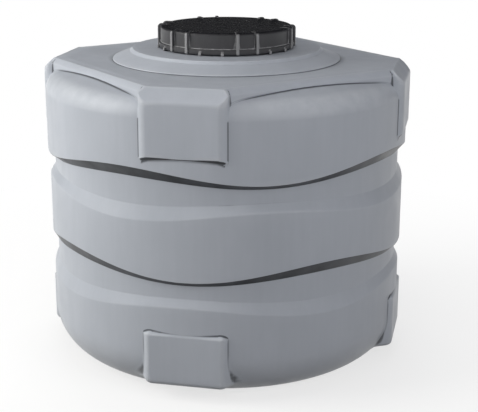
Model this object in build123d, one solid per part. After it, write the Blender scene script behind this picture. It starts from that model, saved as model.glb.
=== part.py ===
from build123d import *
import math
import os

# Underground rainwater tank: one hollow moulded body, a black screw lid and the lid's sealing ring.
# Millimetres, +Z up, origin at the centre of the flat bottom, one corner block facing -Y.
# An azimuth is in degrees, 0 at -Y and growing towards +X, which is anticlockwise seen from above.

# Walls of the moulded body
tank_wall = 9.0
corner_count = 4

# Round body in three tiers; each tier below the top one steps in a little
body_radius = 600.0
middle_tier_step = 6.0
lower_tier_step = 3.0
bottom_edge_radius = 150.0
shoulder_rise = 194.0
shoulder_radius = 60.0
shoulder_turn = 77.0
dome_rim_inset = 33.0

# The two wavy grooves between the tiers, which have one form at two heights
lower_groove_height = 391.0
groove_spacing = 303.0
lower_groove_azimuth = 0.0
upper_groove_azimuth = 25.0
recess_depth = 23.0
underside_rise = 23.5
recess_height = 65.5
ledge_drop = 35.0
rim_swing = 23.0
recess_top_swing = 12.0
ledge_top_swing = 9.0
ledge_foot_swing = 19.0
points_per_wave = 16

# Square deck standing on its corners, each of which ends in a block with a flat outer face
deck_rise = 94.0
deck_side_inset = 107.0
deck_edge = 15.0
edge_slant = 45.0
block_proud = 2.0
block_width = 272.0
block_height = 206.0
block_edge_radius = 30.0
block_chamfer = 40.0
block_underside_height = 24.0
block_underside_depth = 40.0

# Small flat-faced blocks near the bottom, one below each corner block
foot_proud = 2.0
foot_face_width = 246.0
foot_bottom_height = 48.0
foot_face_height = 170.0
foot_side_angle = 60.0
foot_depth = 90.0
foot_top_height = 24.0
foot_top_taper = 55.0
foot_edge_radius = 45.0
foot_bottom_fillet = 20.0

# Round stepped platform that carries the neck
platform_radius = 377.0
platform_step = 4.0
platform_sink = 40.0
ring_foot_radius = 320.0
ring_foot_rise = 27.0
ring_slant = 8.0
ring_height = 10.0

# Neck with an outside thread of several starts
neck_radius = 206.0
neck_wall = 10.0
neck_height = 62.0
thread_lead = 48.0
thread_starts = 4
thread_span = 170.0
thread_depth = 4.0
thread_root_width = 5.0
thread_crest_width = 3.0
thread_clearance = 1.5
thread_overlap = 1.0
thread_rise = 21.0

# Screw lid
lid_gap = 5.0
lid_skirt_wall = 6.5
lid_top_wall = 5.0
lid_band_height = 16.0
lid_band_step = 6.0
lid_edge_radius = 9.0

# Grip ribs and bottom nubs of the lid, both in pairs
rib_pair_count = 6
rib_pair_azimuth = 30.0
rib_half_spread = 8.3
rib_width = 9.0
rib_reach = 11.0
rib_rise = 3.0
rib_top_length = 24.0
rib_corner_radius = 12.0
nub_half_spread = 9.3
nub_width = 9.0
nub_height = 10.0
nub_drop = 4.0
nub_reach = 11.0

# Flat sealing ring between the neck's rim and the lid
seal_thickness = 4.0
seal_clearance = 0.3
seal_width = 12.0

# Radii and heights that follow from the values above, from the body up to the lid
middle_tier_radius = body_radius - middle_tier_step
lower_tier_radius = middle_tier_radius - lower_tier_step
recess_radius = body_radius - recess_depth
upper_groove_height = lower_groove_height + groove_spacing
shoulder_height = upper_groove_height + shoulder_rise
deck_height = shoulder_height + deck_rise
deck_side_distance = body_radius - deck_side_inset
dome_rim_radius = deck_side_distance - dome_rim_inset
block_face_distance = body_radius + block_proud
foot_face_distance = lower_tier_radius + foot_proud
ring_foot_height = deck_height + ring_foot_rise
ring_top_height = ring_foot_height + ring_height
ring_top_radius = ring_foot_radius - ring_slant
neck_top_height = ring_top_height + neck_height
neck_thread_height = ring_top_height + thread_rise
lid_bore_radius = neck_radius + thread_depth + thread_clearance
lid_skirt_radius = lid_bore_radius + lid_skirt_wall
lid_bottom_height = ring_top_height + lid_gap
seal_bottom_height = neck_top_height + seal_clearance
lid_ceiling_height = seal_bottom_height + seal_thickness + seal_clearance
lid_top_height = lid_ceiling_height + lid_top_wall


def around(shape, azimuth):
    """Turn a shape that was made facing -Y to the given azimuth."""
    return Rot(0, 0, azimuth) * shape


def half_section(points_and_arcs):
    """Revolve a closed half section, given as edges in the XZ plane, round the Z axis."""
    face = make_face(points_and_arcs)
    return revolve(face, axis=Axis.Z)


def at(radius, height):
    """A point of a half section."""
    return (radius, 0, height)


def drum(inset):
    """The round body without grooves: bottom edge, three straight tiers, shoulder and shallow dome."""
    lower = lower_tier_radius - inset
    middle = middle_tier_radius - inset
    upper = body_radius - inset
    bottom_arc = bottom_edge_radius - inset
    low_step = lower_groove_height - recess_height / 2
    high_step = upper_groove_height - recess_height / 2
    shoulder_arc = shoulder_radius - inset
    turn = math.radians(shoulder_turn)
    half_turn = turn / 2
    arc_centre = upper - shoulder_arc
    arc_end = at(arc_centre + shoulder_arc * math.cos(turn), shoulder_height + shoulder_arc * math.sin(turn))
    arc_middle = at(
        arc_centre + shoulder_arc * math.cos(half_turn),
        shoulder_height + shoulder_arc * math.sin(half_turn),
    )
    dome_top = arc_end[2] + (arc_end[0] - dome_rim_radius) / math.tan(turn)
    bottom_edge = at(
        lower - bottom_arc + bottom_arc * math.sin(math.pi / 4),
        inset + bottom_arc - bottom_arc * math.cos(math.pi / 4),
    )
    outline = [
        Line(at(0, inset), at(lower - bottom_arc, inset)),
        ThreePointArc(at(lower - bottom_arc, inset), bottom_edge, at(lower, inset + bottom_arc)),
        Polyline(
            at(lower, inset + bottom_arc),
            at(lower, low_step),
            at(middle, low_step),
            at(middle, high_step),
            at(upper, high_step),
            at(upper, shoulder_height),
        ),
        ThreePointArc(at(upper, shoulder_height), arc_middle, arc_end),
        Polyline(arc_end, at(dome_rim_radius, dome_top), at(0, dome_top), at(0, inset)),
    ]
    return half_section(outline)


def wavy_line(radius, height, swing, top_azimuth):
    """A closed line round the body that rises and falls once for each corner."""
    count = points_per_wave * corner_count
    points = []
    for index in range(count):
        azimuth = 360.0 * index / count
        wave = math.cos(math.radians(corner_count * (azimuth - top_azimuth)))
        angle = math.radians(azimuth)
        points.append((radius * math.sin(angle), -radius * math.cos(angle), height + swing * wave))
    return Spline(*points, periodic=True)


def slanted_lines(inner, outer, top_azimuth, reach):
    """The inner edge of a slanted wavy face, and its outer edge pushed out past the wall by reach.

    inner and outer are each (radius, mean height, swing).
    """
    factor = reach / (outer[0] - inner[0])
    far = [inner[i] + (outer[i] - inner[i]) * (1 + factor) for i in range(3)]
    return wavy_line(*inner, top_azimuth), wavy_line(*far, top_azimuth)


def groove_cutter(groove_height, low_azimuth, radius_above, radius_below, inset):
    """The ring-shaped space of one groove: slanted underside, recessed wall and slanted ledge."""
    recess = recess_radius - inset
    above = radius_above - inset
    below = radius_below - inset
    rim_lift = inset * math.tan(math.atan2(radius_above - recess_radius, underside_rise) / 2)
    ledge_sink = inset * math.tan(math.atan2(radius_below - recess_radius, ledge_drop) / 2)
    reach = recess_depth * 2

    recess_top = (recess, groove_height + rim_lift, -recess_top_swing)
    rim = (above, groove_height + underside_rise + rim_lift, -rim_swing)
    ledge_top = (recess, groove_height - recess_height - ledge_sink, ledge_top_swing)
    ledge_foot = (below, groove_height - recess_height - ledge_drop - ledge_sink, ledge_foot_swing)

    top_inner, top_outer = slanted_lines(recess_top, rim, low_azimuth, reach)
    low_inner, low_outer = slanted_lines(ledge_top, ledge_foot, low_azimuth, reach)
    faces = [
        Face.make_surface_from_curves(top_inner, top_outer),
        Face.make_surface_from_curves(top_outer, low_outer),
        Face.make_surface_from_curves(low_outer, low_inner),
        Face.make_surface_from_curves(low_inner, top_inner),
    ]
    return Solid(Shell(faces))


def slanted_edge_height(edge, inset):
    """Where a slanted edge below the deck's top starts, with all its faces moved in by inset."""
    return deck_height - edge - inset * math.tan(math.radians(edge_slant) / 2)


def edged_plate(outline, bottom, inset):
    """An outline raised to the deck's top, with the deck's small slanted edge round it."""
    edge_height = slanted_edge_height(deck_edge, inset)
    edge_amount = deck_height - inset - edge_height
    sides = extrude(Pos(0, 0, bottom) * outline, amount=edge_height - bottom)
    edge = extrude(Pos(0, 0, edge_height) * outline, amount=edge_amount, taper=edge_slant)
    return sides + edge


def block_limits(bottom, inset):
    """All that lies between the faces of two opposite corner blocks, their slanted tops and undersides."""
    face_distance = block_face_distance - inset
    edge_height = slanted_edge_height(block_chamfer, inset)
    top = deck_height - inset
    top_distance = face_distance - (top - edge_height) * math.tan(math.radians(edge_slant))
    half_outline = [
        (face_distance - block_underside_depth, bottom),
        (face_distance, bottom + block_underside_height),
        (face_distance, edge_height),
        (top_distance, top),
    ]
    other_half = [(-distance, height) for distance, height in reversed(half_outline)]
    profile = make_face(Plane.YZ * Polyline(*half_outline, *other_half, close=True))
    return extrude(profile, amount=2 * body_radius, both=True)


def deck(inset):
    """The square deck with two crossing bars, whose ends are the four corner blocks."""
    bottom = deck_height - block_height - block_underside_height + inset
    side = 2 * (deck_side_distance - inset)
    reach = 2 * (block_face_distance - inset)
    square = Rot(0, 0, 45) * Rectangle(side, side)
    bar = RectangleRounded(block_width - 2 * inset, reach, block_edge_radius - inset)
    bar_form = edged_plate(bar, bottom, inset)
    form = edged_plate(square, bottom, inset) + bar_form + around(bar_form, 90)
    limits = block_limits(bottom, inset)
    return form & limits & around(limits, 90)


def foot_block(inset):
    """One low block facing -Y, with slanted sides and top, sunk into the bottom tier."""
    face_distance = foot_face_distance - inset
    side_turn = math.radians(foot_side_angle)
    half_width = foot_face_width / 2 - inset * math.tan(side_turn / 2)
    spread = foot_depth / math.tan(side_turn)
    top_mitre = inset * math.tan(math.radians(foot_top_taper) / 2)
    bottom = foot_bottom_height + inset
    top = foot_bottom_height + foot_face_height - top_mitre
    outline = make_face(
        Polyline(
            (-half_width, -face_distance),
            (half_width, -face_distance),
            (half_width + spread, foot_depth - face_distance),
            (-half_width - spread, foot_depth - face_distance),
            close=True,
        )
    )
    front_corners = outline.vertices().sort_by(Axis.Y)[:2]
    outline = fillet(front_corners, foot_edge_radius - inset)
    face_part = extrude(Pos(0, 0, bottom) * outline, amount=top - bottom)
    slanted_part = extrude(Pos(0, 0, top) * outline, amount=foot_top_height, taper=foot_top_taper)
    block = face_part + slanted_part
    low_edges = block.edges().filter_by(Axis.X).group_by(Axis.Z)[0].sort_by(Axis.Y)[:1]
    return fillet(low_edges, foot_bottom_fillet - inset)


def platform(inset):
    """The low round cone and ring that carry the neck, closed at its centre."""
    start = deck_height - platform_sink
    outline = Polyline(
        at(0, start),
        at(platform_radius - inset, start),
        at(platform_radius - inset, deck_height + platform_step - inset),
        at(ring_foot_radius, ring_foot_height - inset),
        at(ring_top_radius - inset, ring_top_height - inset),
        at(0, ring_top_height - inset),
        close=True,
    )
    return half_section(outline)


def body_form(inset):
    """The whole moulded form, with every face moved in by inset."""
    form = drum(inset) + deck(inset)
    block = foot_block(inset)
    for index in range(corner_count):
        form = form + around(block, index * 360.0 / corner_count)
    form = form - groove_cutter(
        lower_groove_height, lower_groove_azimuth, middle_tier_radius, lower_tier_radius, inset
    )
    form = form - groove_cutter(
        upper_groove_height, upper_groove_azimuth, body_radius, middle_tier_radius, inset
    )
    return form + platform(inset)


def thread_ridge(wall_radius, outward, start_height, start_azimuth):
    """One thread start: a short helical ridge that stands out of a wall, or into a bore."""
    path = Helix(
        pitch=thread_lead,
        height=thread_lead * thread_span / 360.0,
        radius=wall_radius,
        center=(0, 0, start_height),
    )
    sunk = -outward * thread_overlap
    crest = outward * thread_depth
    section = Polyline(
        (sunk, -thread_root_width / 2),
        (crest, -thread_crest_width / 2),
        (crest, thread_crest_width / 2),
        (sunk, thread_root_width / 2),
        close=True,
    )
    start = Plane(origin=path @ 0, x_dir=(1, 0, 0), z_dir=path % 0)
    ridge = sweep(start * make_face(section), path=path, is_frenet=True)
    return Rot(0, 0, start_azimuth) * ridge


def thread(wall_radius, outward, start_height):
    """All the starts of the thread, evenly spaced round the axis."""
    ridges = []
    for index in range(thread_starts):
        ridges.append(thread_ridge(wall_radius, outward, start_height, index * 360.0 / thread_starts))
    return ridges


def tank_body():
    """The hollow moulded body, open only at its threaded neck."""
    neck = Pos(0, 0, ring_foot_height) * Cylinder(
        neck_radius, neck_top_height - ring_foot_height, align=(Align.CENTER, Align.CENTER, Align.MIN)
    )
    bore = Pos(0, 0, deck_height - platform_sink) * Cylinder(
        neck_radius - neck_wall, neck_top_height, align=(Align.CENTER, Align.CENTER, Align.MIN)
    )
    body = body_form(0) + neck
    for ridge in thread(neck_radius, 1, neck_thread_height):
        body = body + ridge
    return body - body_form(tank_wall) - bore


def lid_shell():
    """The lid's skirt, bottom band and top plate."""
    band_radius = lid_skirt_radius + lid_band_step
    band_top = lid_bottom_height + lid_band_height
    corner = lid_skirt_radius - lid_edge_radius
    corner_height = lid_top_height - lid_edge_radius
    bend = lid_edge_radius * math.sin(math.pi / 4)
    outline = [
        Polyline(
            at(lid_bore_radius, lid_bottom_height),
            at(band_radius, lid_bottom_height),
            at(band_radius, band_top),
            at(lid_skirt_radius, band_top),
            at(lid_skirt_radius, corner_height),
        ),
        ThreePointArc(
            at(lid_skirt_radius, corner_height),
            at(corner + bend, corner_height + bend),
            at(corner, lid_top_height),
        ),
        Polyline(
            at(corner, lid_top_height),
            at(0, lid_top_height),
            at(0, lid_ceiling_height),
            at(lid_bore_radius, lid_ceiling_height),
            at(lid_bore_radius, lid_bottom_height),
        ),
    ]
    return half_section(outline)


def grip_rib():
    """One rib facing -Y, up the skirt and over the lid's rounded edge."""
    inner = lid_bore_radius + lid_skirt_wall / 2
    outer = lid_skirt_radius + rib_reach
    top = lid_top_height + rib_rise
    top_end = lid_skirt_radius - rib_top_length
    bend = rib_corner_radius * (1 - math.sin(math.pi / 4))
    outline = [
        Polyline(
            (0, -inner, lid_bottom_height),
            (0, -outer, lid_bottom_height),
            (0, -outer, top - rib_corner_radius),
        ),
        ThreePointArc(
            (0, -outer, top - rib_corner_radius),
            (0, -outer + bend, top - bend),
            (0, -outer + rib_corner_radius, top),
        ),
        Polyline(
            (0, -outer + rib_corner_radius, top),
            (0, -top_end - rib_rise, top),
            (0, -top_end, lid_top_height),
            (0, -top_end, lid_ceiling_height + lid_top_wall / 2),
            (0, -inner, lid_ceiling_height + lid_top_wall / 2),
            (0, -inner, lid_bottom_height),
        ),
    ]
    return extrude(make_face(outline), amount=rib_width / 2, both=True)


def bottom_nub():
    """One nub facing -Y at the lid's bottom edge."""
    inner = lid_bore_radius + lid_skirt_wall / 2
    outer = lid_skirt_radius + nub_reach
    block = Box(nub_width, outer - inner, nub_height, align=(Align.CENTER, Align.MIN, Align.MIN))
    return Pos(0, -outer, lid_bottom_height - nub_drop) * block


def in_pairs(shape, first_azimuth, half_spread):
    """Pairs of a shape round the lid, each shape half_spread to one side of its pair's centre."""
    copies = []
    for index in range(rib_pair_count):
        centre = first_azimuth + index * 360.0 / rib_pair_count
        copies.append(around(shape, centre - half_spread))
        copies.append(around(shape, centre + half_spread))
    return copies


def screw_lid():
    """The black lid: shell, inside thread, grip ribs and bottom nubs in one moulding."""
    lid = lid_shell()
    pieces = in_pairs(grip_rib(), rib_pair_azimuth, rib_half_spread)
    nub_azimuth = rib_pair_azimuth + 180.0 / rib_pair_count
    pieces += in_pairs(bottom_nub(), nub_azimuth, nub_half_spread)
    lid_thread_height = neck_thread_height - thread_lead / thread_starts / 2
    pieces += thread(lid_bore_radius, -1, lid_thread_height)
    for piece in pieces:
        lid = lid + piece
    return lid


def sealing_ring():
    """The flat rubber ring that lies in the lid's bore, above the neck's rim."""
    outer = lid_bore_radius - seal_clearance
    outline = Polyline(
        at(outer - seal_width, seal_bottom_height),
        at(outer, seal_bottom_height),
        at(outer, seal_bottom_height + seal_thickness),
        at(outer - seal_width, seal_bottom_height + seal_thickness),
        close=True,
    )
    return half_section(outline)


os.makedirs("parts", exist_ok=True)
export_step(tank_body(), "parts/tank_body.step")
export_step(screw_lid(), "parts/screw_lid.step")
export_step(sealing_ring(), "parts/lid_seal.step")
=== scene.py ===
import math
import bmesh
import bpy
import numpy as np
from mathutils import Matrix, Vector


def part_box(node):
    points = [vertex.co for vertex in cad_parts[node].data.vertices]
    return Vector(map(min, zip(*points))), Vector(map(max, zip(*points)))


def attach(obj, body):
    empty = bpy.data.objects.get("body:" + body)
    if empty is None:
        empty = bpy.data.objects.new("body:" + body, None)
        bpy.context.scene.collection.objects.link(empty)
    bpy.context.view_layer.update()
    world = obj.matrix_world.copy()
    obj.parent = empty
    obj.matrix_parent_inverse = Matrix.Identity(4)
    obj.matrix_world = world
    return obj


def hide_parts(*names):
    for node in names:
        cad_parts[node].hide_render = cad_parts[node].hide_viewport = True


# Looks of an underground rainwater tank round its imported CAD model.
# Shapes are worked out in millimetres and turned into metres when a mesh is made.
# An azimuth is in degrees, 0 at -Y and growing towards +X, which is anticlockwise seen from above.
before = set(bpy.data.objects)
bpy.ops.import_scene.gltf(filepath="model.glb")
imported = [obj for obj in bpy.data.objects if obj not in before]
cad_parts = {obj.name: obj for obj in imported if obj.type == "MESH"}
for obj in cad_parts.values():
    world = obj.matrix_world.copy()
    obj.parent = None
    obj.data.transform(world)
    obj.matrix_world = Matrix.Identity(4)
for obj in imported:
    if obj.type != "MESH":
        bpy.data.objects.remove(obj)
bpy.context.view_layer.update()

millimetre = 0.001
tank_low, tank_high = [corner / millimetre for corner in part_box("tank_body")]
lid_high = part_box("screw_lid")[1] / millimetre
seal_low, seal_high = [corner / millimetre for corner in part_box("lid_seal")]

# Moulded body: three tiers that step in a little towards the bottom
tank_wall = 9.0
corner_count = 4
block_proud = 2.0
block_face_distance = tank_high.x
body_radius = block_face_distance - block_proud
middle_tier_step = 6.0
middle_tier_radius = body_radius - middle_tier_step
lower_tier_step = 3.0
lower_tier_radius = middle_tier_radius - lower_tier_step
bottom_edge_radius = 150.0

# Wavy grooves between the tiers, as mean heights and swings
lower_groove_height = 391.0
groove_spacing = 303.0
upper_groove_height = lower_groove_height + groove_spacing
lower_groove_azimuth = 0.0
upper_groove_azimuth = 25.0
recess_depth = 23.0
underside_rise = 23.5
recess_height = 65.5
ledge_drop = 35.0
rim_swing = 23.0
recess_top_swing = 12.0
ledge_top_swing = 9.0
ledge_foot_swing = 19.0
ledge_foot_rounding = 16.0
ledge_top_rounding = 9.0
recess_top_rounding = 4.0
rim_rounding = 5.0

# Shoulder, square deck with cut corners, and corner blocks
shoulder_rise = 194.0
shoulder_height = upper_groove_height + shoulder_rise
shoulder_radius = 60.0
shoulder_turn = 77.0
deck_rise = 94.0
deck_height = shoulder_height + deck_rise
deck_side_inset = 107.0
deck_side_distance = body_radius - deck_side_inset
dome_rim_inset = 33.0
dome_rim_radius = deck_side_distance - dome_rim_inset
deck_edge = 15.0
block_half_width = 136.0
block_edge_radius = 30.0
block_chamfer = 40.0
block_height = 206.0
block_underside_height = 24.0
block_underside_depth = 40.0
slant_blend = 6.0
underside_blend = 4.0
deck_top_blend = 5.0
valley_blend = 6.0

# Foot blocks near the bottom, one below each corner block
foot_proud = 2.0
foot_face_distance = lower_tier_radius + foot_proud
foot_face_width = 246.0
foot_bottom_height = 48.0
foot_face_height = 170.0
foot_face_top = foot_bottom_height + foot_face_height
foot_side_angle = 60.0
foot_top_height = 24.0
foot_top = foot_face_top + foot_top_height
foot_top_taper = 55.0
foot_bottom_fillet = 20.0
foot_edge_blend = 14.0
foot_top_blend = 6.0
foot_join_blend = 5.0

# Stepped platform, neck and its outside thread
platform_radius = 377.0
platform_step = 4.0
ring_foot_radius = 320.0
ring_foot_rise = 27.0
ring_foot_height = deck_height + ring_foot_rise
ring_slant = 8.0
ring_top_radius = ring_foot_radius - ring_slant
ring_height = 10.0
ring_top_height = ring_foot_height + ring_height
neck_top_height = tank_high.z
neck_radius = 206.0
neck_wall = 10.0
thread_rise = 21.0
thread_height = ring_top_height + thread_rise
thread_lead = 48.0
thread_starts = 4
thread_span = 170.0
thread_first_azimuth = 90.0
thread_depth = 4.0
thread_root_width = 5.0
thread_crest_width = 3.0
thread_end_turn = 6.0
thread_clearance = 1.5

# Screw lid: plain shell, then the ribs and nubs that stand out of it in pairs
lid_bore_radius = neck_radius + thread_depth + thread_clearance
lid_skirt_wall = 6.5
lid_skirt_radius = lid_bore_radius + lid_skirt_wall
lid_band_step = 6.0
lid_band_radius = lid_skirt_radius + lid_band_step
lid_gap = 5.0
lid_bottom_height = ring_top_height + lid_gap
lid_band_height = 16.0
lid_band_top_height = lid_bottom_height + lid_band_height
seal_clearance = 0.3
lid_ceiling_height = seal_high.z + seal_clearance
lid_top_wall = 5.0
lid_top_height = lid_ceiling_height + lid_top_wall
lid_edge_radius = 9.0
lid_thread_height = thread_height - thread_lead / thread_starts / 2
pair_count = 6
rib_pair_azimuth = 30.0
rib_half_spread = 8.3
rib_half_width = 4.5
rib_reach = 11.0
rib_reach_radius = lid_skirt_radius + rib_reach
rib_corner_radius = 12.0
rib_top_length = 24.0
rib_edge_radius = 1.6
rib_foot_radius = 0.8
nub_pair_azimuth = 60.0
nub_half_spread = 9.3
nub_drop = 4.0
nub_bottom_height = lid_bottom_height - nub_drop
nub_height = 10.0
nub_top_height = nub_bottom_height + nub_height
small_rounding = 0.7
seal_width = 12.0
seal_rounding = 0.9

# Rows and columns of the meshes: the hidden inside gets only a share of the outside's rows
inner_detail = 0.2
face_column_step = 2.5
block_edge_columns = 11
corner_column_steps = np.array([0.0, 0.15, 0.6])
side_columns_start = 1.4
side_columns = 14
plain_lid_column_step = 2.0
seal_column_step = 2.5
groove_steps = (2, 3, 3, 3, 2)
bore_row_height = 1.0
lid_top_radii = (0, 25, 60, 95, 130, 160, 182)
lid_ceiling_radii = (lid_bore_radius - 1, 195, 140, 70, 0)
merge_distance = 0.000001

# Heights at which one stretch of the wall ends and the next starts
lower_wall_start = foot_top + 12
middle_wall_start = lower_groove_height + 58
upper_wall_start = upper_groove_height + 52

# Fan of rays for the shoulder and deck: its centre as radius and height, and how finely it is sampled
fan_centre = (400.0, 800.0)
outline_samples = 60
dome_samples = 40
valley_samples = 300
least_row_turn = math.radians(0.15)
least_ray_rise = 0.05
far_away = 10000.0
block_edge_turn = 0.06

# Camera that took the photograph, worked out from the tank's outlines
image_width = 478
focal_pixels = 1189.6
axis_pixel = 226.5
camera_azimuth = 12.6
camera_distance = 3946.0
camera_height = 1609.0
camera_pitch = 16.15
sensor_width = 36.0

# Studio lights, all of one size and at one distance from the tank's middle
light_size = 2.2
light_distance = 4000.0
light_aim_height = 600.0
neutral_white = (1.0, 1.0, 1.0)
warm_white = (1.0, 0.995, 0.955)

# White sweep that reflections see, as sines of the elevations between which it gives way to the dim room
sweep_start = 0.0
sweep_end = 0.06

# Floor, with the distances between which it fades to white, all in metres
floor_reach = 30.0
floor_drop = 0.0005
fade_start = 0.7
fade_end = 2.2

# Painted shade under the rims: how far a surface faces down where it starts and is full, and the height it
# starts at
painted_shade_start = -0.25
painted_shade_full = -0.42
painted_shade_height = 0.24
painted_shade_height_fade = 0.03

# Pointiness, which is 0.5 where a surface is flat, lower in a crease and higher on an edge; creases get
# painted shade, edges get lighter as wear and as painted highlight
crease_full = 0.480
crease_start = 0.493
highlit_worn_edge_start = 0.507
highlit_worn_edge_full = 0.522


def smooth_min(first, second, width):
    """The lower of two values, rounded where they are closer than width."""
    share = np.clip(0.5 + 0.5 * (second - first) / width, 0, 1)
    return second * (1 - share) + first * share - width * share * (1 - share)


def smooth_max(first, second, width):
    """The higher of two values, rounded where they are closer than width."""
    return -smooth_min(-first, -second, width)


def eased(count):
    """Steps from 0 to 1, closer together at both ends, without the 1."""
    return 0.5 - 0.5 * np.cos(np.pi * np.arange(count) / count)


def block_edge_centre():
    """Where a block's rounded upright edge has its centre, as across and outward distances."""
    return block_half_width - block_edge_radius, block_face_distance - block_edge_radius


def half_sector():
    """Azimuths from a block's middle to the middle of a side, closest together at the blocks' edges."""
    across, outward = block_edge_centre()
    turns = np.radians(np.linspace(0, 90, block_edge_columns))
    edge = np.degrees(
        np.arctan2(across + block_edge_radius * np.sin(turns), outward + block_edge_radius * np.cos(turns))
    )
    deck_corner = deck_side_distance * math.sqrt(2) - block_half_width
    corner = math.degrees(math.atan2(block_half_width, deck_corner))
    face = np.arange(0, edge[0] - 1, face_column_step)
    between = [(edge[-1] + corner) / 2]
    side = np.linspace(corner + side_columns_start, 45, side_columns)
    return np.concatenate([face, edge, between, corner + corner_column_steps, side])


def all_azimuths():
    """The azimuths of all the mesh's columns, once round the tank."""
    half = half_sector()
    quarter = np.concatenate([half, 90 - half[-2:0:-1]])
    return np.concatenate([quarter + 90 * index for index in range(corner_count)])


azimuths = all_azimuths()
folded = np.abs((azimuths + 45) % 90 - 45)


def level(radius, height, count=len(azimuths)):
    """One row of a mesh, from radii and heights that may be single values or one for each column."""
    row = np.zeros((count, 2))
    row[:, 0] = radius
    row[:, 1] = height
    return row


def filleted_path(corners, roundings, steps):
    """Rows along a path of corner rows, with rounded corners.

    roundings has the radius of each inner corner, and steps the rows on each straight run.
    """
    rows = []
    leave = corners[0]
    for index in range(1, len(corners) - 1):
        corner = corners[index]
        back = corners[index - 1] - corner
        ahead = corners[index + 1] - corner
        back_length = np.linalg.norm(back, axis=1, keepdims=True)
        ahead_length = np.linalg.norm(ahead, axis=1, keepdims=True)
        back = back / back_length
        ahead = ahead / ahead_length
        opening = np.arccos(np.clip((back * ahead).sum(axis=1, keepdims=True), -1, 1))
        reach = roundings[index - 1] / np.tan(opening / 2)
        reach = np.minimum(reach, 0.45 * np.minimum(back_length, ahead_length))
        arrive = corner + back * reach
        for step in range(steps[index - 1]):
            share = step / steps[index - 1]
            rows.append(leave * (1 - share) + arrive * share)
        leave = corner + ahead * reach
        for share in (0.0, 0.25, 0.5, 0.75):
            rows.append(arrive * (1 - share) ** 2 + corner * 2 * share * (1 - share) + leave * share ** 2)
    for step in range(steps[-1] + 1):
        share = step / steps[-1]
        rows.append(leave * (1 - share) + corners[-1] * share)
    return rows


def foot_distance_drop(height, inset):
    """How far the foot blocks' faces stand back at a height, by the slanted top and the rounded bottom."""
    top_mitre = inset * math.tan(math.radians(foot_top_taper) / 2)
    top = foot_bottom_height + foot_face_height - top_mitre
    bottom = foot_bottom_height + inset
    fillet = foot_bottom_fillet - inset
    slant = math.tan(math.radians(foot_top_taper))
    from_top = smooth_max(0.0, (height - top) * slant, foot_top_blend)
    below = np.clip((bottom + fillet - height) / fillet, 0, 1)
    return from_top + fillet * (1 - math.sqrt(1 - below * below))


def foot_radius(height, inset):
    """The foot blocks' outer radius at a height, for each column."""
    drop = foot_distance_drop(height, inset)
    side_turn = math.radians(foot_side_angle)
    side_distance = foot_face_width / 2 * math.sin(side_turn) + foot_face_distance * math.cos(side_turn)
    front = (foot_face_distance - inset - drop) / np.cos(np.radians(folded))
    side = (side_distance - inset - drop) / np.cos(side_turn - np.radians(folded))
    return smooth_min(front, side, foot_edge_blend)


def bottom_radius(height, inset):
    """The round body's radius at a height of the rounded bottom edge or the wall above it."""
    arc = bottom_edge_radius - inset
    fall = min(max(bottom_edge_radius - height, 0), arc)
    return lower_tier_radius - bottom_edge_radius + math.sqrt(arc * arc - fall * fall)


def lower_rows(inset, detail):
    """Rows of the bottom, its rounded edge and the lower wall with the four foot blocks."""
    rows = []
    flat_radius = lower_tier_radius - bottom_edge_radius
    for share in np.linspace(0, 1, 2 + round(5 * detail)):
        rows.append(level(flat_radius * share, inset))
    arc = bottom_edge_radius - inset
    foot_bottom = foot_bottom_height + inset
    foot_turn = math.acos((bottom_edge_radius - foot_bottom) / arc)
    for share in np.linspace(0, 1, 2 + round(8 * detail))[1:]:
        height = bottom_edge_radius - arc * math.cos(foot_turn * share)
        rows.append(level(bottom_radius(height, inset), height))
    foot_fillet_top = foot_bottom + foot_bottom_fillet - inset
    foot_slant_start = foot_face_top - foot_top_blend
    # Start, end and number of rows of each stretch
    stations = [
        (foot_bottom, foot_fillet_top, 8),
        (foot_fillet_top, bottom_edge_radius, 6),
        (bottom_edge_radius, foot_slant_start, 5),
        (foot_slant_start, foot_top, 13),
        (foot_top, lower_wall_start, 2),
    ]
    for start, end, count in stations:
        count = max(2, round(count * detail))
        for step in range(count):
            share = step / count
            if start == foot_bottom:
                share = share * share
            height = start + (end - start) * share
            radius = smooth_max(bottom_radius(height, inset), foot_radius(height, inset), foot_join_blend)
            rows.append(level(radius, height))
    return rows


def groove_corners(groove_height, low_azimuth, radius_above, radius_below, inset):
    """The four wavy corner rows of one groove, from the ledge's foot up to the rim."""
    wave = np.cos(np.radians(corner_count * (azimuths - low_azimuth)))
    recess = body_radius - recess_depth
    rim_lift = inset * math.tan(math.atan2(radius_above - recess, underside_rise) / 2)
    ledge_sink = inset * math.tan(math.atan2(radius_below - recess, ledge_drop) / 2)
    ledge_height = groove_height - recess_height - ledge_sink
    return [
        level(radius_below - inset, ledge_height - ledge_drop + ledge_foot_swing * wave),
        level(recess - inset, ledge_height + ledge_top_swing * wave),
        level(recess - inset, groove_height + rim_lift - recess_top_swing * wave),
        level(radius_above - inset, groove_height + underside_rise + rim_lift - rim_swing * wave),
    ]


def groove_rows(groove_height, low_azimuth, radius_above, radius_below, start, end, inset, detail):
    """Rows from a level below a groove, through the groove, to a level above it."""
    corners = groove_corners(groove_height, low_azimuth, radius_above, radius_below, inset)
    corners = [level(radius_below - inset, start)] + corners + [level(radius_above - inset, end)]
    roundings = [ledge_foot_rounding, ledge_top_rounding, recess_top_rounding, rim_rounding]
    steps = [max(1, round(count * detail)) for count in groove_steps]
    return filleted_path(corners, roundings, steps)[:-1]


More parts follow.
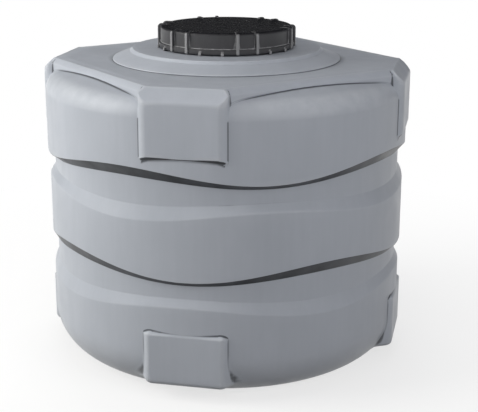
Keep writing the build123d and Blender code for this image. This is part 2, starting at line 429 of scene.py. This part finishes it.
def deck_radius(inset, edge):
    """The deck's radius for each column, with its outline moved in by inset and a slanted edge's width."""
    turn = np.radians(folded)
    side = (deck_side_distance - inset - edge) / np.cos(math.pi / 4 - turn)
    across, outward = block_edge_centre()
    rounding = max(block_edge_radius - inset - edge, 0.1)
    middle = across * np.sin(turn) + outward * np.cos(turn)
    inside = rounding ** 2 - across ** 2 - outward ** 2 + middle ** 2
    edge_arc = middle + np.sqrt(np.maximum(inside, 0))
    front = (outward + rounding) / np.cos(turn)
    flank = (across + rounding) / np.maximum(np.sin(turn), 0.01)
    block = np.where(front * np.sin(turn) < across, front, np.where(inside > 0, edge_arc, 0))
    block = np.where(flank * np.cos(turn) < outward, flank, block)
    return np.maximum(side, block)


def deck_profile(inset):
    """The deck's upright outline for each column: heights, and a row of radii for each of them."""
    mitre = inset * math.tan(math.pi / 8)
    low = deck_height - block_height - block_underside_height + inset
    underside_top = low + block_underside_height
    chamfer_start = deck_height - block_chamfer
    # Closely spaced where the outline slants, with fewer heights on the upright face between
    heights = np.concatenate([
        np.linspace(low, underside_top + 6, 16),
        np.linspace(underside_top + 10, chamfer_start - 12, 20),
        np.linspace(chamfer_start - 10, deck_height - inset + 0.01, 60),
    ])
    slope = block_underside_depth / block_underside_height
    radii = []
    for height in heights:
        edge = smooth_max(0.0, height - (deck_height - deck_edge - mitre), slant_blend)
        above = smooth_max(0.0, height - (deck_height - block_chamfer - mitre), slant_blend)
        below = smooth_max(0.0, (underside_top - height) * slope, underside_blend)
        limit = (block_face_distance - inset - above - below) / np.cos(np.radians(folded))
        radii.append(np.minimum(deck_radius(inset, edge), limit))
    return heights, np.array(radii)


def fan_polar(radius, height):
    """Places given by radius and height, as angles and distances seen from the fan's centre."""
    out = radius - fan_centre[0]
    up = height - fan_centre[1]
    return np.arctan2(up, out), np.hypot(out, up)


def drum_outline(inset):
    """The round body's outline above the upper groove, as angles and distances seen from the fan's centre."""
    wall = body_radius - inset
    arc = shoulder_radius - inset
    turns = np.radians(np.linspace(0, shoulder_turn, outline_samples))
    heights = np.linspace(fan_centre[1] - 100, shoulder_height, outline_samples)
    radii = np.concatenate([np.full(len(heights), wall), wall - arc + arc * np.cos(turns)])
    heights = np.concatenate([heights, shoulder_height + arc * np.sin(turns)])
    slope = 1 / math.tan(math.radians(shoulder_turn))
    for radius in np.linspace(radii[-1], dome_rim_radius, dome_samples)[1:]:
        radii = np.append(radii, radius)
        heights = np.append(heights, heights[-1] + (radii[-2] - radius) * slope)
    for radius in np.linspace(dome_rim_radius, fan_centre[0], dome_samples)[1:]:
        radii = np.append(radii, radius)
        heights = np.append(heights, heights[-1])
    return fan_polar(radii, heights)


def shoulder_rows(inset, detail):
    """Rows from the wall above the upper groove over the corner blocks and the shoulder onto the deck.

    Each column is a fan of rays from a centre inside both the round body and the deck.
    """
    wall = body_radius - inset
    mitre = inset * math.tan(math.pi / 8)
    top_height = deck_height - inset
    drum_angles, drum_distances = drum_outline(inset)
    heights, radii = deck_profile(inset)
    block_bottom = deck_height - block_height + inset
    upright = radii[np.searchsorted(heights, block_bottom + 20)]
    top_edge = radii[-1]
    deck_angles, deck_distances = fan_polar(radii, heights[:, None])

    def deck_distance(angles):
        upright_part = [
            np.interp(angle, deck_angles[:, column], deck_distances[:, column])
            for column, angle in enumerate(angles)
        ]
        rise = np.sin(angles)
        reach = (top_height - fan_centre[1]) / np.maximum(rise, least_ray_rise)
        top = np.where(rise > least_ray_rise, reach, far_away)
        beyond_top = angles > deck_angles[-1]
        return smooth_min(np.where(beyond_top, top + 0.01, upright_part), top, deck_top_blend)

    def distances(angles):
        drum = np.interp(angles, drum_angles, drum_distances)
        return drum, deck_distance(angles)

    def angle_of(radius, height):
        return np.full(len(folded), fan_polar(radius, height)[0])

    proud = np.maximum(upright, wall)
    across = block_edge_centre()[0]
    block_edge_start = math.atan2(across, block_face_distance)
    turned = np.clip((np.radians(folded) - block_edge_start) / block_edge_turn, 0, 1)
    edge_start = deck_height - mitre - block_chamfer + (block_chamfer - deck_edge) * turned
    start_radius = np.array([
        np.interp(edge_start[column], heights, radii[:, column]) for column in range(len(folded))
    ])
    shoulder_angle = angle_of(proud, shoulder_height)
    edge_angle = angle_of(top_edge, top_height)
    valley_angle = shoulder_angle.copy()
    for share in np.linspace(1, 0, valley_samples):
        angles = shoulder_angle + (edge_angle - shoulder_angle) * share
        drum, deck = distances(angles)
        valley_angle = np.where((drum < deck) & (valley_angle >= shoulder_angle), angles, valley_angle)
    slope = block_underside_height / block_underside_depth
    # Angles up the fan, each with the number of rows that lead to it
    marks = [
        (angle_of(wall, upper_wall_start + 2), 0),
        (angle_of(wall, block_bottom - (proud - wall) * slope - 1.0), 4),
        (angle_of(proud, block_bottom), 4),
        (shoulder_angle, 8),
        (valley_angle, 13),
        (angle_of(start_radius, edge_start), 9),
        (edge_angle, 10),
        (angle_of(top_edge - 14, top_height), 4),
    ]
    face_plane = (block_face_distance - inset) / np.cos(np.radians(folded))
    rows = []
    before = marks[0][0]
    for mark, count in marks[1:]:
        count = max(2, round(count * detail))
        after = np.maximum(mark, before + least_row_turn * count)
        for share in eased(count):
            angles = before * (1 - share) + after * share
            drum, deck = distances(angles)
            distance = smooth_max(drum, deck, valley_blend)
            radius = np.minimum(fan_centre[0] + distance * np.cos(angles), face_plane)
            rows.append(level(radius, fan_centre[1] + distance * np.sin(angles)))
        before = after
    return rows


def platform_corners(inset, deck_row):
    """Corner rows from the deck's rim in to the platform and up to the ring round the neck."""
    return [
        level(deck_row[:, 0] - 4, deck_height - inset),
        level(platform_radius - inset, deck_height - inset),
        level(platform_radius - inset, deck_height + platform_step - inset),
        level(ring_foot_radius, ring_foot_height - inset),
        level(ring_top_radius - inset, ring_top_height - inset),
    ]


def thread_relief(rows, columns, wall_radius, start_height, outward):
    """Lift helical thread ridges out of the rows of a wall, or into a bore."""
    for row in rows:
        relief = np.zeros(len(columns))
        for start in range(thread_starts):
            turned = (columns - thread_first_azimuth - 360 * start / thread_starts) % 360
            middle = start_height + thread_lead * turned / 360
            flank = (thread_root_width / 2 - np.abs(row[:, 1] - middle)) * 2 / (
                thread_root_width - thread_crest_width
            )
            ends = np.minimum(turned, thread_span - turned) / thread_end_turn
            relief = np.maximum(relief, np.clip(np.minimum(flank, ends), 0, 1))
        on_wall = np.abs(row[:, 0] - wall_radius) < 0.01
        row[:, 0] += np.where(on_wall, outward * thread_depth * relief, 0)


def wall_rows(inset, detail):
    """All rows of the tank's outside or inside, from the middle of the bottom to the deck."""
    rows = lower_rows(inset, detail)
    rows += groove_rows(
        lower_groove_height, lower_groove_azimuth, middle_tier_radius, lower_tier_radius,
        lower_wall_start, middle_wall_start, inset, detail,
    )
    rows += groove_rows(
        upper_groove_height, upper_groove_azimuth, body_radius, middle_tier_radius,
        middle_wall_start, upper_wall_start, inset, detail,
    )
    return rows + shoulder_rows(inset, detail)


def tank_rows():
    """All rows of the hollow body: up the outside, over the neck's rim and down the inside."""
    outside = wall_rows(0, 1)
    inside = wall_rows(tank_wall, inner_detail)
    bore = neck_radius - neck_wall
    up = platform_corners(0, outside[-1]) + [
        level(neck_radius, ring_top_height),
        level(neck_radius, neck_top_height),
        level(bore, neck_top_height),
    ]
    down = platform_corners(tank_wall, inside[-1])
    corners = up + [level(bore, ring_top_height - tank_wall)] + down[::-1]
    # Radius of each inner corner, and rows on each straight run, of which the long one is the threaded neck
    roundings = [2, 3, 10, 3, 4, 2, 2, 2, 2, 2, 2, 2]
    steps = [5, 1, 3, 2, 4, 46, 1, 3, 2, 1, 2, 1, 3]
    middle = filleted_path(corners, roundings, steps)
    thread_relief(middle, azimuths, neck_radius, thread_height, 1)
    return outside + middle + inside[::-1]


def ring_mesh(name, rows, columns):
    """A mesh from rows of radius and height round the Z axis, with the points that meet merged."""
    turns = np.radians(columns)
    count = len(columns)
    points = []
    for row in rows:
        across = row[:, 0] * np.sin(turns) * millimetre
        along = -row[:, 0] * np.cos(turns) * millimetre
        points.extend(zip(across, along, row[:, 1] * millimetre))
    faces = []
    for column in range(count):
        following = (column + 1) % count
        for row in range(len(rows) - 1):
            low = row * count
            high = low + count
            faces.append((low + column, low + following, high + following, high + column))
    mesh = bpy.data.meshes.new(name)
    mesh.from_pydata(points, [], faces)
    merged = bmesh.new()
    merged.from_mesh(mesh)
    bmesh.ops.remove_doubles(merged, verts=merged.verts, dist=merge_distance)
    merged.to_mesh(mesh)
    merged.free()
    mesh.shade_smooth()
    piece = bpy.data.objects.new(name, mesh)
    bpy.context.scene.collection.objects.link(piece)
    return piece


def pair_azimuths(first_azimuth, half_spread):
    """The azimuths of all ribs or nubs, which stand in pairs round the lid."""
    centres = first_azimuth + 360 / pair_count * np.arange(pair_count)
    return np.concatenate([centres - half_spread, centres + half_spread])


def rib_section():
    """Half a rib's cross section: distances across it, and the share of its rise at each."""
    rise = rib_reach_radius - lid_skirt_radius
    turns = np.radians(np.linspace(0, 90, 5))
    edge_across = rib_half_width - rib_edge_radius + rib_edge_radius * np.sin(turns)
    edge_share = 1 - rib_edge_radius * (1 - np.cos(turns)) / rise
    foot_across = rib_half_width + rib_foot_radius * (1.1 - np.cos(turns[:3]))
    foot_share = rib_foot_radius * (1 - np.sin(turns[:3])) / rise
    return np.concatenate([edge_across, foot_across, [6.0]]), np.concatenate([edge_share, foot_share, [0.0]])


def lid_columns():
    """The azimuths of the lid's columns, closest together across its ribs and nubs."""
    across = rib_section()[0]
    offsets = np.degrees(np.concatenate([-across, [0], across]) / lid_band_radius)
    features = np.concatenate([
        pair_azimuths(rib_pair_azimuth, rib_half_spread), pair_azimuths(nub_pair_azimuth, nub_half_spread)
    ]) % 360
    plain = np.arange(0, 360, plain_lid_column_step)
    apart = np.abs((plain[:, None] - features + 180) % 360 - 180).min(axis=1)
    dense = (features[:, None] + offsets).ravel() % 360
    return np.sort(np.concatenate([plain[apart > offsets[-1] + 0.4], dense]))


def relief_share(columns, features):
    """How much each column belongs to a rib or nub, from 0 to 1."""
    across, share = rib_section()
    apart = np.abs((columns[:, None] - features + 180) % 360 - 180).min(axis=1)
    return np.interp(np.radians(apart) * lid_band_radius, across, share)


def lid_outside():
    """The lid's outside from its top's middle to its bore, as points of the plain shell, a rib and a nub."""
    top = lid_top_height
    rib_top = lid_high.z
    tail = lid_skirt_radius - rib_top_length
    stations = [((radius, top),) * 3 for radius in (*lid_top_radii, tail - 3)]
    # A rib's start on the top plate: how far shell and rib are past its tail, and its share of the rise
    climb = [(-1, 0.0, 0.1), (0, 0.5, 0.5), (1.5, 1.2, 0.9), (4, 3.0, 1.0)]
    for plain, along, share in climb:
        base = (tail + plain, top)
        stations.append((base, (tail + along, top + (rib_top - top) * share), base))
    edge = lid_skirt_radius - lid_edge_radius
    for turn in np.radians(np.linspace(0, 90, 10)):
        base = (edge + lid_edge_radius * math.sin(turn), top - lid_edge_radius * (1 - math.cos(turn)))
        rib = (
            rib_reach_radius - rib_corner_radius * (1 - math.sin(turn)),
            rib_top - rib_corner_radius * (1 - math.cos(turn)),
        )
        stations.append((base, rib, base))
    small = small_rounding
    shell = [
        (lid_skirt_radius, top - lid_edge_radius - 8),
        (lid_skirt_radius, (top + lid_band_top_height) / 2),
        (lid_skirt_radius, lid_band_top_height + 4 * small),
        (lid_skirt_radius, lid_band_top_height + small),
        (lid_skirt_radius + small, lid_band_top_height),
        (lid_band_radius - 2 * small, lid_band_top_height),
        (lid_band_radius - small / 2, lid_band_top_height - small / 2),
        (lid_band_radius, lid_band_top_height - 2 * small),
        (lid_band_radius, nub_top_height + small),
    ]
    for base in shell:
        stations.append((base, (rib_reach_radius, base[1]), base))
    # The plain shell's radius and height, the rib's radius, and the nub's radius and height
    foot = [
        (lid_band_radius, nub_top_height, rib_reach_radius, rib_reach_radius - small, nub_top_height),
        (lid_band_radius, nub_top_height - small, rib_reach_radius, rib_reach_radius, nub_top_height - small),
        (
            lid_band_radius, lid_bottom_height + small,
            rib_reach_radius, rib_reach_radius, nub_bottom_height + small,
        ),
        (
            lid_band_radius - small, lid_bottom_height,
            rib_reach_radius - small, rib_reach_radius - small, nub_bottom_height,
        ),
        (lid_skirt_radius - 3, lid_bottom_height, lid_skirt_radius, lid_skirt_radius - 3, nub_bottom_height),
        (
            lid_skirt_radius - 3.3, lid_bottom_height,
            lid_skirt_radius - 2, lid_skirt_radius - 3.2, lid_bottom_height - small,
        ),
        (
            lid_bore_radius + small, lid_bottom_height,
            lid_bore_radius + small, lid_bore_radius + small, lid_bottom_height,
        ),
    ]
    for plain_radius, height, rib_radius, nub_radius, nub_level in foot:
        stations.append(((plain_radius, height), (rib_radius, height), (nub_radius, nub_level)))
    return stations


def lid_rows(columns):
    """All rows of the lid: its outside down to the bottom, its threaded bore and its ceiling."""
    ribs = relief_share(columns, pair_azimuths(rib_pair_azimuth, rib_half_spread))[:, None]
    nubs = relief_share(columns, pair_azimuths(nub_pair_azimuth, nub_half_spread))[:, None]
    rows = []
    for base, rib, nub in np.array(lid_outside()):
        rows.append(base + ribs * (rib - base) + nubs * (nub - base))
    bore_heights = np.arange(lid_bottom_height + small_rounding, lid_ceiling_height - 1, bore_row_height)
    bore = [level(lid_bore_radius, height, len(columns)) for height in bore_heights]
    thread_relief(bore, columns, lid_bore_radius, lid_thread_height, -1)
    ceiling = [level(radius, lid_ceiling_height, len(columns)) for radius in lid_ceiling_radii]
    return rows + bore + ceiling


def seal_rows(count):
    """The rows round the sealing ring's rounded cross section, which end where they start."""
    outer = seal_high.x
    corners = [
        level(outer - seal_width / 2, seal_low.z, count),
        level(outer - seal_width, seal_low.z, count),
        level(outer - seal_width, seal_high.z, count),
        level(outer, seal_high.z, count),
        level(outer, seal_low.z, count),
        level(outer - seal_width / 2, seal_low.z, count),
    ]
    return filleted_path(corners, [seal_rounding] * 4, [2, 1, 3, 1, 2])


def new_material(name):
    """An empty node material, its node tree and its main shader."""
    material = bpy.data.materials.new(name)
    material.use_nodes = True
    tree = material.node_tree
    return material, tree, tree.nodes["Principled BSDF"]


def noise(tree, scale, detail, roughness=0.5, stretch=(1.0, 1.0, 1.0)):
    """A noise pattern in the object's own coordinates, in features for each metre."""
    place = tree.nodes.new("ShaderNodeTexCoord")
    mapping = tree.nodes.new("ShaderNodeMapping")
    mapping.inputs["Scale"].default_value = stretch
    pattern = tree.nodes.new("ShaderNodeTexNoise")
    pattern.inputs["Scale"].default_value = scale
    pattern.inputs["Detail"].default_value = detail
    pattern.inputs["Roughness"].default_value = roughness
    tree.links.new(place.outputs["Object"], mapping.inputs["Vector"])
    tree.links.new(mapping.outputs["Vector"], pattern.inputs["Vector"])
    return pattern.outputs["Fac"]


def ramp(tree, value, stops):
    """A colour ramp from a value, with stops of position and colour."""
    node = tree.nodes.new("ShaderNodeValToRGB")
    node.color_ramp.elements[0].position = stops[0][0]
    node.color_ramp.elements[0].color = (*stops[0][1], 1)
    node.color_ramp.elements[1].position = stops[1][0]
    node.color_ramp.elements[1].color = (*stops[1][1], 1)
    tree.links.new(value, node.inputs["Fac"])
    return node.outputs["Color"]


def value_range(tree, value, low, high, start=0.3, end=0.7):
    """A value stretched from the range start..end to low..high."""
    node = tree.nodes.new("ShaderNodeMapRange")
    node.inputs["From Min"].default_value = start
    node.inputs["From Max"].default_value = end
    node.inputs["To Min"].default_value = low
    node.inputs["To Max"].default_value = high
    tree.links.new(value, node.inputs["Value"])
    return node.outputs["Result"]


def bump(tree, value, depth, below=None):
    """Surface relief from a value, with its depth in metres, on top of another relief."""
    node = tree.nodes.new("ShaderNodeBump")
    node.inputs["Distance"].default_value = depth
    tree.links.new(value, node.inputs["Height"])
    if below:
        tree.links.new(below, node.inputs["Normal"])
    return node.outputs["Normal"]


def mixed_colour(tree, share, first, second):
    """A colour that goes from the first to the second, each a fixed colour or a node's output."""
    node = tree.nodes.new("ShaderNodeMix")
    node.data_type = "RGBA"
    tree.links.new(share, node.inputs["Factor"])
    for socket, colour in ((node.inputs[6], first), (node.inputs[7], second)):
        if isinstance(colour, tuple):
            socket.default_value = colour
        else:
            tree.links.new(colour, socket)
    return node.outputs[2]


def vector_length(tree, vector):
    """The length of a vector."""
    node = tree.nodes.new("ShaderNodeVectorMath")
    node.operation = "LENGTH"
    tree.links.new(vector, node.inputs[0])
    return node.outputs["Value"]


def upward(tree, vector):
    """The Z part of a vector."""
    node = tree.nodes.new("ShaderNodeSeparateXYZ")
    tree.links.new(vector, node.inputs["Vector"])
    return node.outputs["Z"]


def calculate(tree, operation, first, second):
    """The result of a sum, product or the like of two values."""
    node = tree.nodes.new("ShaderNodeMath")
    node.operation = operation
    tree.links.new(first, node.inputs[0])
    tree.links.new(second, node.inputs[1])
    return node.outputs["Value"]


def painted_shade_under_rims(tree):
    """How much painted shade a place gets: full where it faces down under the rims, and patchy at its ends.
    """
    shape = tree.nodes.new("ShaderNodeNewGeometry")
    place = tree.nodes.new("ShaderNodeTexCoord")
    down = value_range(tree, upward(tree, shape.outputs["Normal"]), 1.0, 0.0, painted_shade_full, painted_shade_start)
    place_height = upward(tree, place.outputs["Object"])
    high = value_range(tree, place_height, 0.0, 1.0, painted_shade_height, painted_shade_height + painted_shade_height_fade)
    patches = value_range(tree, noise(tree, scale=12.0, detail=4.0), 0.88, 1.0)
    return calculate(tree, "MULTIPLY", calculate(tree, "MULTIPLY", down, high), patches)


def edge_wear_and_highlight(tree, scale):
    """How much a place is lightened as wear and as painted highlight: most along outward edges, in patches of
    so many to the metre.
    """
    shape = tree.nodes.new("ShaderNodeNewGeometry")
    edges = value_range(tree, shape.outputs["Pointiness"], 0.0, 1.0, highlit_worn_edge_start, highlit_worn_edge_full)
    patches = value_range(tree, noise(tree, scale, detail=4.0, roughness=0.6), 0.3, 1.0)
    return calculate(tree, "MULTIPLY", edges, patches)


def painted_crease_shade(tree):
    """How much painted shade a place gets because it lies in an inward crease."""
    shape = tree.nodes.new("ShaderNodeNewGeometry")
    return value_range(tree, shape.outputs["Pointiness"], 0.8, 0.0, crease_full, crease_start)


def tank_plastic():
    """Blue-grey moulded polyethylene with a satin skin, faint mottling and streaks, edges lightened as wear
    and as painted highlight, and painted shade under the rims and in creases.
    """
    material, tree, shader = new_material("tank_plastic")
    mottle = noise(tree, scale=5.0, detail=6.0, roughness=0.6, stretch=(1.0, 1.0, 0.4))
    plain = ramp(tree, mottle, [(0.3, (0.363, 0.385, 0.430)), (0.7, (0.402, 0.424, 0.472))])
    upright_lines = noise(tree, scale=60.0, detail=3.0, roughness=0.6, stretch=(1.0, 1.0, 0.06))
    streaks = value_range(tree, upright_lines, 0.0, 0.08)
    streaked = mixed_colour(tree, streaks, plain, (0.26, 0.275, 0.305, 1))
    # Edges lightened as wear and as painted highlight
    worn_and_highlit = mixed_colour(tree, edge_wear_and_highlight(tree, scale=25.0), streaked, (0.46, 0.48, 0.52, 1))
    # Painted shade: under the rims and in creases the colour goes to near black
    painted_shade = calculate(tree, "MAXIMUM", painted_shade_under_rims(tree), painted_crease_shade(tree))
    colour = mixed_colour(tree, painted_shade, worn_and_highlit, (0.012, 0.014, 0.018, 1))
    tree.links.new(colour, shader.inputs["Base Color"])
    cloud = noise(tree, scale=14.0, detail=4.0)
    tree.links.new(value_range(tree, cloud, 0.32, 0.44), shader.inputs["Roughness"])
    shader.inputs["Specular IOR Level"].default_value = 0.35
    waves = bump(tree, noise(tree, scale=9.0, detail=2.0), depth=0.0012)
    peel = bump(tree, noise(tree, scale=260.0, detail=2.0), depth=0.00006, below=waves)
    tree.links.new(peel, shader.inputs["Normal"])
    return material


def painted_rib_highlight_and_sheen(tree):
    """How much painted light greys the lid: a painted sheen on its side a little, and painted highlights most
    on the ribs, which stand out furthest.
    """
    place = tree.nodes.new("ShaderNodeTexCoord")
    across = tree.nodes.new("ShaderNodeVectorMath")
    across.operation = "MULTIPLY"
    across.inputs[1].default_value = (1, 1, 0)
    tree.links.new(place.outputs["Object"], across.inputs[0])
    radius = vector_length(tree, across.outputs["Vector"])
    rib_foot = (lid_band_radius + 1) * millimetre
    rib_face = (rib_reach_radius - 1) * millimetre
    # Painted highlight: the ribs' outer faces are lighter
    ribs = value_range(tree, radius, 0.0, 0.75, rib_foot, rib_face)
    shape = tree.nodes.new("ShaderNodeNewGeometry")
    # Painted sheen: upright surfaces of the side are a little lighter than the top
    skirt = value_range(tree, upward(tree, shape.outputs["Normal"]), 0.13, 0.0, 0.3, 0.9)
    return calculate(tree, "MAXIMUM", ribs, skirt)


def lid_plastic():
    """Black moulded plastic: smoother on top than round its side, with edges lightened as wear and as painted
    highlight, painted highlights on the ribs and a painted sheen round its side.
    """
    material, tree, shader = new_material("lid_plastic")
    mottle = noise(tree, scale=30.0, detail=5.0, roughness=0.6)
    plain = ramp(tree, mottle, [(0.3, (0.007, 0.007, 0.009)), (0.7, (0.012, 0.012, 0.015))])
    wear_and_painted_light = calculate(tree, "MAXIMUM", edge_wear_and_highlight(tree, scale=60.0), painted_rib_highlight_and_sheen(tree))
    # Grey where edges are worn and carry painted highlight, and where ribs and side carry painted highlight
    # and sheen
    colour = mixed_colour(tree, wear_and_painted_light, plain, (0.28, 0.28, 0.29, 1))
    tree.links.new(colour, shader.inputs["Base Color"])
    shape = tree.nodes.new("ShaderNodeNewGeometry")
    flat = value_range(tree, upward(tree, shape.outputs["Normal"]), 0.0, -0.14, 0.8, 0.98)
    satin = value_range(tree, noise(tree, scale=60.0, detail=4.0), 0.36, 0.46)
    tree.links.new(calculate(tree, "ADD", flat, satin), shader.inputs["Roughness"])
    shader.inputs["Specular IOR Level"].default_value = 0.4
    level_lines = noise(tree, scale=90.0, detail=4.0, roughness=0.6, stretch=(1.0, 1.0, 6.0))
    brushed = bump(tree, level_lines, depth=0.00008)
    grain = bump(tree, noise(tree, scale=500.0, detail=2.0), depth=0.00002, below=brushed)
    tree.links.new(grain, shader.inputs["Normal"])
    return material


def seal_rubber():
    """Matt black rubber."""
    material, tree, shader = new_material("seal_rubber")
    mottle = noise(tree, scale=80.0, detail=4.0)
    colour = ramp(tree, mottle, [(0.3, (0.012, 0.012, 0.012)), (0.7, (0.022, 0.022, 0.022))])
    tree.links.new(colour, shader.inputs["Base Color"])
    roughness = value_range(tree, noise(tree, scale=40.0, detail=3.0), 0.7, 0.85)
    tree.links.new(roughness, shader.inputs["Roughness"])
    grain = bump(tree, noise(tree, scale=900.0, detail=2.0), depth=0.00004)
    tree.links.new(grain, shader.inputs["Normal"])
    return material


def around_tank(azimuth, distance, height):
    """A place in metres from an azimuth and millimetres."""
    turn = math.radians(azimuth)
    return Vector((distance * math.sin(turn), -distance * math.cos(turn), height)) * millimetre


def make_camera():
    """The photograph's camera, level from side to side and looking down at the tank's axis."""
    data = bpy.data.cameras.new("camera")
    camera = bpy.data.objects.new("camera", data)
    bpy.context.scene.collection.objects.link(camera)
    camera.location = around_tank(camera_azimuth, camera_distance, camera_height)
    camera.rotation_euler = (math.radians(90 - camera_pitch), 0, math.radians(camera_azimuth))
    data.sensor_width = sensor_width
    data.lens = focal_pixels * sensor_width / image_width
    data.shift_x = 0.5 - axis_pixel / image_width
    bpy.context.scene.camera = camera


def area_light(name, azimuth, elevation, power, colour=neutral_white):
    """A square soft light that faces the tank's middle, placed by azimuth from the camera and elevation."""
    data = bpy.data.lights.new(name, "AREA")
    data.size = light_size
    data.energy = power
    data.color = colour
    lamp = bpy.data.objects.new(name, data)
    lamp.visible_camera = False
    bpy.context.scene.collection.objects.link(lamp)
    rise = light_distance * math.sin(math.radians(elevation))
    reach = light_distance * math.cos(math.radians(elevation))
    lamp.location = around_tank(camera_azimuth + azimuth, reach, light_aim_height + rise)
    aim = around_tank(0, 0, light_aim_height) - lamp.location
    lamp.rotation_euler = aim.to_track_quat("-Z", "Y").to_euler()
    return lamp


def make_lights():
    """Soft light from the left, weaker light from the other sides, and one light that shows as a sheen."""
    area_light("sheen", azimuth=-84, elevation=35, power=42, colour=warm_white)
    diffuse = [
        area_light("left", azimuth=-78, elevation=16, power=140, colour=warm_white),
        area_light("front", azimuth=-5, elevation=28, power=39),
        area_light("right", azimuth=46, elevation=17, power=53),
        area_light("top", azimuth=0, elevation=80, power=32),
        area_light("back right", azimuth=165, elevation=20, power=60),
        area_light("back left", azimuth=-165, elevation=20, power=60),
    ]
    for lamp in diffuse:
        lamp.visible_glossy = False


def seen_ray(tree, share=None):
    """1 for a ray from the camera, 1 or a share for a reflected or transmitted one, else 0."""
    path = tree.nodes.new("ShaderNodeLightPath")
    value = path.outputs["Is Camera Ray"]
    for name in ("Is Glossy Ray", "Is Transmission Ray"):
        other = path.outputs[name]
        if share:
            other = calculate(tree, "MULTIPLY", other, share)
        value = calculate(tree, "MAXIMUM", value, other)
    return value


def make_world():
    """Dim light all round, white for the camera, and a white sweep up to the horizon for reflections."""
    world = bpy.data.worlds.new("studio")
    bpy.context.scene.world = world
    world.use_nodes = True
    tree = world.node_tree
    light = tree.nodes["Background"]
    light.inputs["Color"].default_value = (0.95, 0.97, 1.0, 1)
    light.inputs["Strength"].default_value = 0.025
    white = tree.nodes.new("ShaderNodeBackground")
    white.inputs["Color"].default_value = (1, 1, 1, 1)
    white.inputs["Strength"].default_value = 1.0
    place = tree.nodes.new("ShaderNodeTexCoord")
    sweep = value_range(tree, upward(tree, place.outputs["Generated"]), 1.0, 0.0, sweep_start, sweep_end)
    mix = tree.nodes.new("ShaderNodeMixShader")
    tree.links.new(seen_ray(tree, sweep), mix.inputs["Fac"])
    tree.links.new(light.outputs["Background"], mix.inputs[1])
    tree.links.new(white.outputs["Background"], mix.inputs[2])
    tree.links.new(mix.outputs["Shader"], tree.nodes["World Output"].inputs["Surface"])


def make_floor():
    """A plain pale floor that keeps the tank's shadow and fades to white further out."""
    mesh = bpy.data.meshes.new("floor")
    signs = [(-1, -1), (1, -1), (1, 1), (-1, 1)]
    corners = [(across * floor_reach, along * floor_reach, 0) for across, along in signs]
    mesh.from_pydata(corners, [], [(0, 1, 2, 3)])
    floor = bpy.data.objects.new("floor", mesh)
    bpy.context.scene.collection.objects.link(floor)
    floor.location.z = tank_low.z * millimetre - floor_drop
    material, tree, shader = new_material("floor")
    seen = seen_ray(tree)
    pale = mixed_colour(tree, seen, (0.13, 0.13, 0.13, 1), (0.8, 0.8, 0.8, 1))
    tree.links.new(pale, shader.inputs["Base Color"])
    shader.inputs["Roughness"].default_value = 0.9
    shader.inputs["Specular IOR Level"].default_value = 0.0
    white = tree.nodes.new("ShaderNodeEmission")
    white.inputs["Strength"].default_value = 1.0
    place = tree.nodes.new("ShaderNodeTexCoord")
    distance = vector_length(tree, place.outputs["Object"])
    fade = value_range(tree, distance, 0.7, 1.0, fade_start, fade_end)
    mix = tree.nodes.new("ShaderNodeMixShader")
    tree.links.new(calculate(tree, "MULTIPLY", seen, fade), mix.inputs["Fac"])
    tree.links.new(shader.outputs["BSDF"], mix.inputs[1])
    tree.links.new(white.outputs["Emission"], mix.inputs[2])
    tree.links.new(mix.outputs["Shader"], tree.nodes["Material Output"].inputs["Surface"])
    mesh.materials.append(material)


def make_tank():
    """The moulded body, which stands for its CAD node."""
    piece = ring_mesh("tank_shell", tank_rows(), azimuths)
    piece.data.materials.append(tank_plastic())
    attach(piece, "tank")
    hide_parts("tank_body")


def make_lid():
    """The screw lid with its ribs, nubs and thread, which stands for its CAD node."""
    columns = lid_columns()
    piece = ring_mesh("lid_shell", lid_rows(columns), columns)
    piece.data.materials.append(lid_plastic())
    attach(piece, "lid")
    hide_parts("screw_lid")


def make_seal():
    """The sealing ring, which stands for its CAD node."""
    columns = np.arange(0, 360, seal_column_step)
    piece = ring_mesh("seal_ring", seal_rows(len(columns)), columns)
    piece.data.materials.append(seal_rubber())
    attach(piece, "seal")
    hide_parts("lid_seal")


make_camera()
make_world()
make_lights()
make_floor()
make_tank()
make_lid()
make_seal()

bpy.context.scene.view_settings.view_transform = "Standard"
